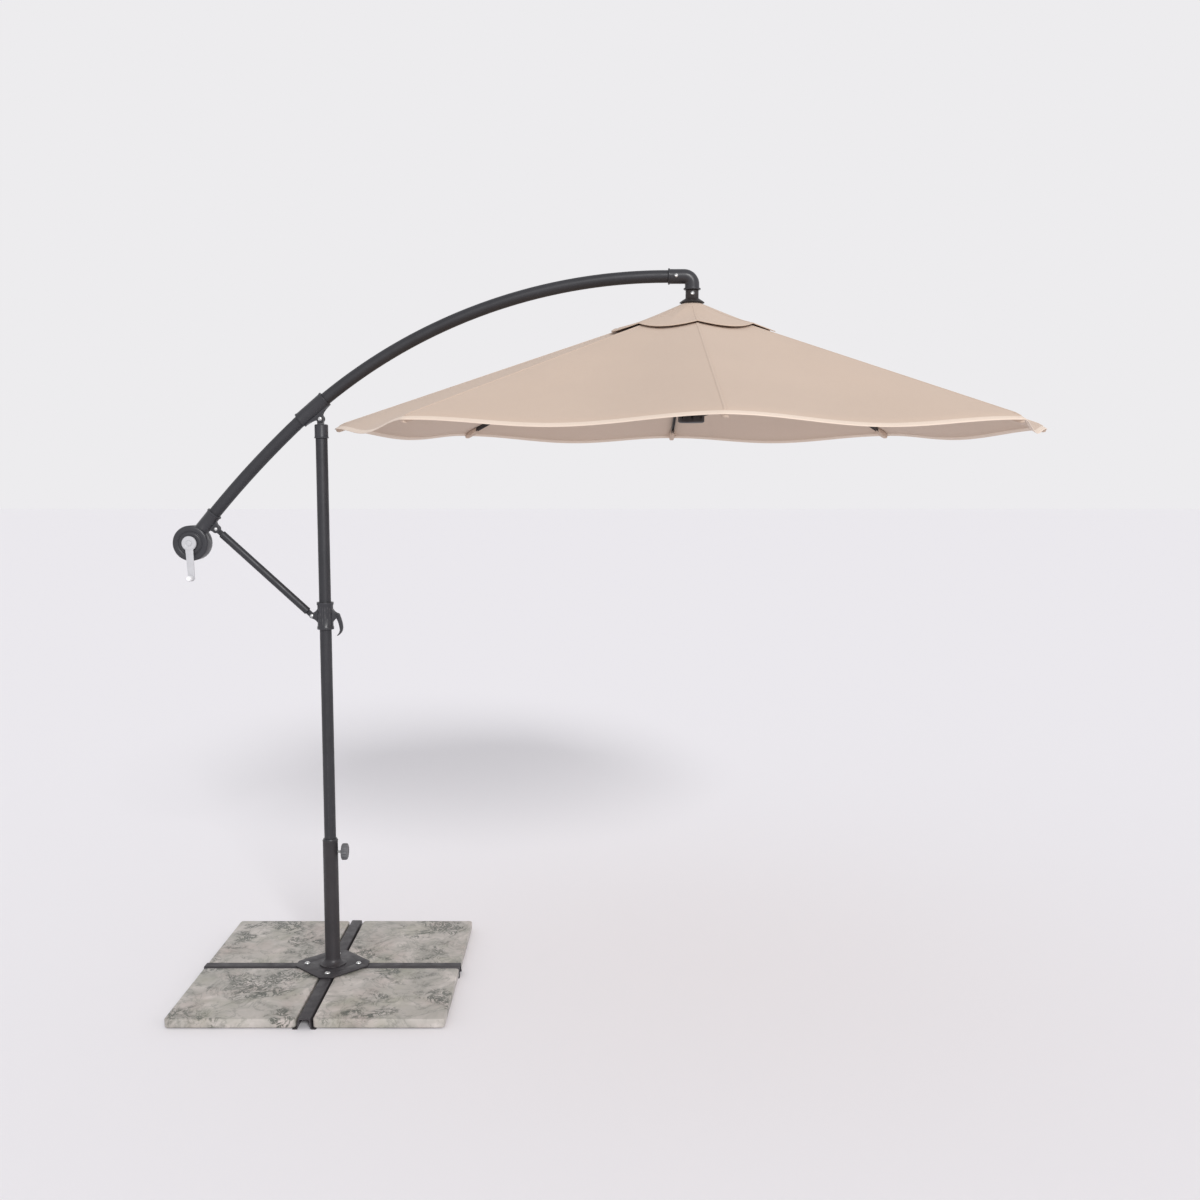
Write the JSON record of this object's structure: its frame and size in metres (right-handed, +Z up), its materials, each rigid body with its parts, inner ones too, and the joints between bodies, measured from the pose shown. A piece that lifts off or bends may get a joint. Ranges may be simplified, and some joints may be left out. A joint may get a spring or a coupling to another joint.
{
  "type": "cantilever parasol",
  "caption": "Offset garden parasol: slab-weighted cross base, turning mast, curved tilting boom on a strut and sliding collar, and a canopy that a crank folds.",
  "frame": {"origin": "on the ground, on the mast's axis, under the middle of the cross base", "axes": "+Z up, +X from the mast towards the canopy, the crank's handle on the -Y side"},
  "size_m": [3.3084, 2.6908, 2.729],
  "materials": {
    "stone": "honed marble, dark green veins",
    "base_coat": "satin dark brown-grey powder coat",
    "powder_coat": "satin charcoal powder coat",
    "rib_steel": "satin black-brown paint",
    "plastic": "fine-grained moulded charcoal",
    "knob_plastic": "moulded dark grey",
    "crank_plastic": "smooth light grey",
    "grip_plastic": "glossy white",
    "zinc": "bright zinc",
    "cloth": "woven taupe polyester",
    "cord": "braided black"
  },
  "bodies": {
    "base": {"slab_1": "stone", "slab_2": "stone", "slab_3": "stone", "slab_4": "stone", "cross_bar": "base_coat", "rear_half_bar": "base_coat", "front_half_bar": "base_coat", "base_plate": "base_coat", "base_sleeve": "base_coat", "sleeve_bush": "plastic", "base_bolt_1": "zinc", "base_bolt_2": "zinc", "base_bolt_3": "zinc", "base_bolt_4": "zinc"},
    "knob": {"clamp_knob": "knob_plastic"},
    "mast": {"mast": "powder_coat", "mast_cap": "plastic", "tilt_bolt": "zinc"},
    "boom": {"boom": "powder_coat", "boom_bracket": "plastic", "elbow": "plastic", "elbow_screw": "zinc", "hub": "rib_steel", "dome_cap": "rib_steel", "crank_housing": "plastic", "housing_cover": "plastic", "strut_upper_pin": "zinc", "lift_cord": "cord"},
    "strut": {"strut": "powder_coat"},
    "collar": {"collar": "plastic", "strut_lower_pin": "zinc"},
    "lever": {"collar_lever": "plastic"},
    "crank": {"spool": "plastic", "crank_arm": "crank_plastic"},
    "grip": {"crank_grip": "grip_plastic"},
    "rib_1": {"rib_1": "rib_steel", "canopy_1": "cloth"},
    "stretcher_1": {"stretcher_1": "rib_steel"},
    "rib_2": {"rib_2": "rib_steel", "canopy_2": "cloth"},
    "stretcher_2": {"stretcher_2": "rib_steel"},
    "rib_3": {"rib_3": "rib_steel", "canopy_3": "cloth"},
    "stretcher_3": {"stretcher_3": "rib_steel"},
    "rib_4": {"rib_4": "rib_steel", "canopy_4": "cloth"},
    "stretcher_4": {"stretcher_4": "rib_steel"},
    "rib_5": {"rib_5": "rib_steel", "canopy_5": "cloth"},
    "stretcher_5": {"stretcher_5": "rib_steel"},
    "rib_6": {"rib_6": "rib_steel", "canopy_6": "cloth"},
    "stretcher_6": {"stretcher_6": "rib_steel"},
    "rib_7": {"rib_7": "rib_steel", "canopy_7": "cloth"},
    "stretcher_7": {"stretcher_7": "rib_steel"},
    "rib_8": {"rib_8": "rib_steel", "canopy_8": "cloth"},
    "stretcher_8": {"stretcher_8": "rib_steel"},
    "runner": {"runner": "rib_steel"}
  },
  "joints": [
    {"name": "mast_swivel", "type": "hinge", "parent": "base", "child": "mast", "pos_m": [0, 0, 0.545], "axis": [0, 0, 1], "continuous": true},
    {"name": "clamp_turn", "type": "hinge", "parent": "base", "child": "knob", "pos_m": [0.05, 0, 0.497], "axis": [1, 0, 0], "range_deg": [0, 720]},
    {"name": "boom_tilt", "type": "hinge", "parent": "mast", "child": "boom", "pos_m": [-0.002, 0, 2.172], "axis": [0, -1, 0], "range_deg": [-8, 20]},
    {"name": "strut_upper", "type": "hinge", "parent": "boom", "child": "strut", "pos_m": [-0.408, 0, 1.757], "axis": [0, -1, 0], "range_deg": [-46, 19]},
    {"name": "strut_lower", "type": "hinge", "parent": "strut", "child": "collar", "pos_m": [-0.05, 0, 1.425], "axis": [0, -1, 0], "range_deg": [-11, 26]},
    {"name": "lever_swing", "type": "hinge", "parent": "collar", "child": "lever", "pos_m": [0.046, 0, 1.425], "axis": [0, -1, 0], "range_deg": [0, 95]},
    {"name": "crank_spin", "type": "hinge", "parent": "boom", "child": "crank", "pos_m": [-0.499, 0, 1.704], "axis": [0, 1, 0], "range_deg": [0, 1920]},
    {"name": "grip_spin", "type": "hinge", "parent": "crank", "child": "grip", "pos_m": [-0.4926, -0.07, 1.57316], "axis": [0, 1, 0], "continuous": true},
    {"name": "fold", "type": "hinge", "parent": "boom", "child": "rib_1", "pos_m": [1.431, 0, 2.5646], "axis": [0, 1, 0], "range_deg": [0, 66], "deforming": ["canopy_1"]},
    {"name": "stretcher_pin_1", "type": "hinge", "parent": "rib_1", "child": "stretcher_1", "pos_m": [2.00412, 0, 2.37395], "axis": [0, 1, 0], "range_deg": [-132, 0]},
    {"name": "fold_2", "type": "hinge", "parent": "boom", "child": "rib_2", "pos_m": [1.42104, 0.02404, 2.5646], "axis": [-0.7071, 0.7071, 0], "range_deg": [0, 66], "deforming": ["canopy_2"]},
    {"name": "stretcher_pin_2", "type": "hinge", "parent": "rib_2", "child": "stretcher_2", "pos_m": [1.8263, 0.4293, 2.37395], "axis": [-0.7071, 0.7071, 0], "range_deg": [-132, 0]},
    {"name": "fold_3", "type": "hinge", "parent": "boom", "child": "rib_3", "pos_m": [1.397, 0.034, 2.5646], "axis": [-1, 0, 0], "range_deg": [0, 66], "deforming": ["canopy_3"]},
    {"name": "stretcher_pin_3", "type": "hinge", "parent": "rib_3", "child": "stretcher_3", "pos_m": [1.397, 0.60712, 2.37395], "axis": [-1, 0, 0], "range_deg": [-132, 0]},
    {"name": "fold_4", "type": "hinge", "parent": "boom", "child": "rib_4", "pos_m": [1.37296, 0.02404, 2.5646], "axis": [-0.7071, -0.7071, 0], "range_deg": [0, 66], "deforming": ["canopy_4"]},
    {"name": "stretcher_pin_4", "type": "hinge", "parent": "rib_4", "child": "stretcher_4", "pos_m": [0.9677, 0.4293, 2.37395], "axis": [-0.7071, -0.7071, 0], "range_deg": [-132, 0]},
    {"name": "fold_5", "type": "hinge", "parent": "boom", "child": "rib_5", "pos_m": [1.363, 0, 2.5646], "axis": [0, -1, 0], "range_deg": [0, 66], "deforming": ["canopy_5"]},
    {"name": "stretcher_pin_5", "type": "hinge", "parent": "rib_5", "child": "stretcher_5", "pos_m": [0.78988, 0, 2.37395], "axis": [0, -1, 0], "range_deg": [-132, 0]},
    {"name": "fold_6", "type": "hinge", "parent": "boom", "child": "rib_6", "pos_m": [1.37296, -0.02404, 2.5646], "axis": [0.7071, -0.7071, 0], "range_deg": [0, 66], "deforming": ["canopy_6"]},
    {"name": "stretcher_pin_6", "type": "hinge", "parent": "rib_6", "child": "stretcher_6", "pos_m": [0.9677, -0.4293, 2.37395], "axis": [0.7071, -0.7071, 0], "range_deg": [-132, 0]},
    {"name": "fold_7", "type": "hinge", "parent": "boom", "child": "rib_7", "pos_m": [1.397, -0.034, 2.5646], "axis": [1, 0, 0], "range_deg": [0, 66], "deforming": ["canopy_7"]},
    {"name": "stretcher_pin_7", "type": "hinge", "parent": "rib_7", "child": "stretcher_7", "pos_m": [1.397, -0.60712, 2.37395], "axis": [1, 0, 0], "range_deg": [-132, 0]},
    {"name": "fold_8", "type": "hinge", "parent": "boom", "child": "rib_8", "pos_m": [1.42104, -0.02404, 2.5646], "axis": [0.7071, 0.7071, 0], "range_deg": [0, 66], "deforming": ["canopy_8"]},
    {"name": "stretcher_pin_8", "type": "hinge", "parent": "rib_8", "child": "stretcher_8", "pos_m": [1.8263, -0.4293, 2.37395], "axis": [0.7071, 0.7071, 0], "range_deg": [-132, 0]},
    {"name": "runner_pin", "type": "hinge", "parent": "stretcher_1", "child": "runner", "pos_m": [1.431, 0, 2.1833], "axis": [0, 1, 0], "range_deg": [0, 66]}
  ],
  "couplings": [
    {"joint": "strut_upper", "follows": "boom_tilt", "ratio": -2.22},
    {"joint": "strut_lower", "follows": "boom_tilt", "ratio": 1.22},
    {"joint": "crank_spin", "follows": "fold", "ratio": 29},
    {"joint": "stretcher_pin_1", "follows": "fold", "ratio": -2},
    {"joint": "fold_2", "follows": "fold", "ratio": 1},
    {"joint": "stretcher_pin_2", "follows": "fold", "ratio": -2},
    {"joint": "fold_3", "follows": "fold", "ratio": 1},
    {"joint": "stretcher_pin_3", "follows": "fold", "ratio": -2},
    {"joint": "fold_4", "follows": "fold", "ratio": 1},
    {"joint": "stretcher_pin_4", "follows": "fold", "ratio": -2},
    {"joint": "fold_5", "follows": "fold", "ratio": 1},
    {"joint": "stretcher_pin_5", "follows": "fold", "ratio": -2},
    {"joint": "fold_6", "follows": "fold", "ratio": 1},
    {"joint": "stretcher_pin_6", "follows": "fold", "ratio": -2},
    {"joint": "fold_7", "follows": "fold", "ratio": 1},
    {"joint": "stretcher_pin_7", "follows": "fold", "ratio": -2},
    {"joint": "fold_8", "follows": "fold", "ratio": 1},
    {"joint": "stretcher_pin_8", "follows": "fold", "ratio": -2},
    {"joint": "runner_pin", "follows": "fold", "ratio": 1}
  ]
}
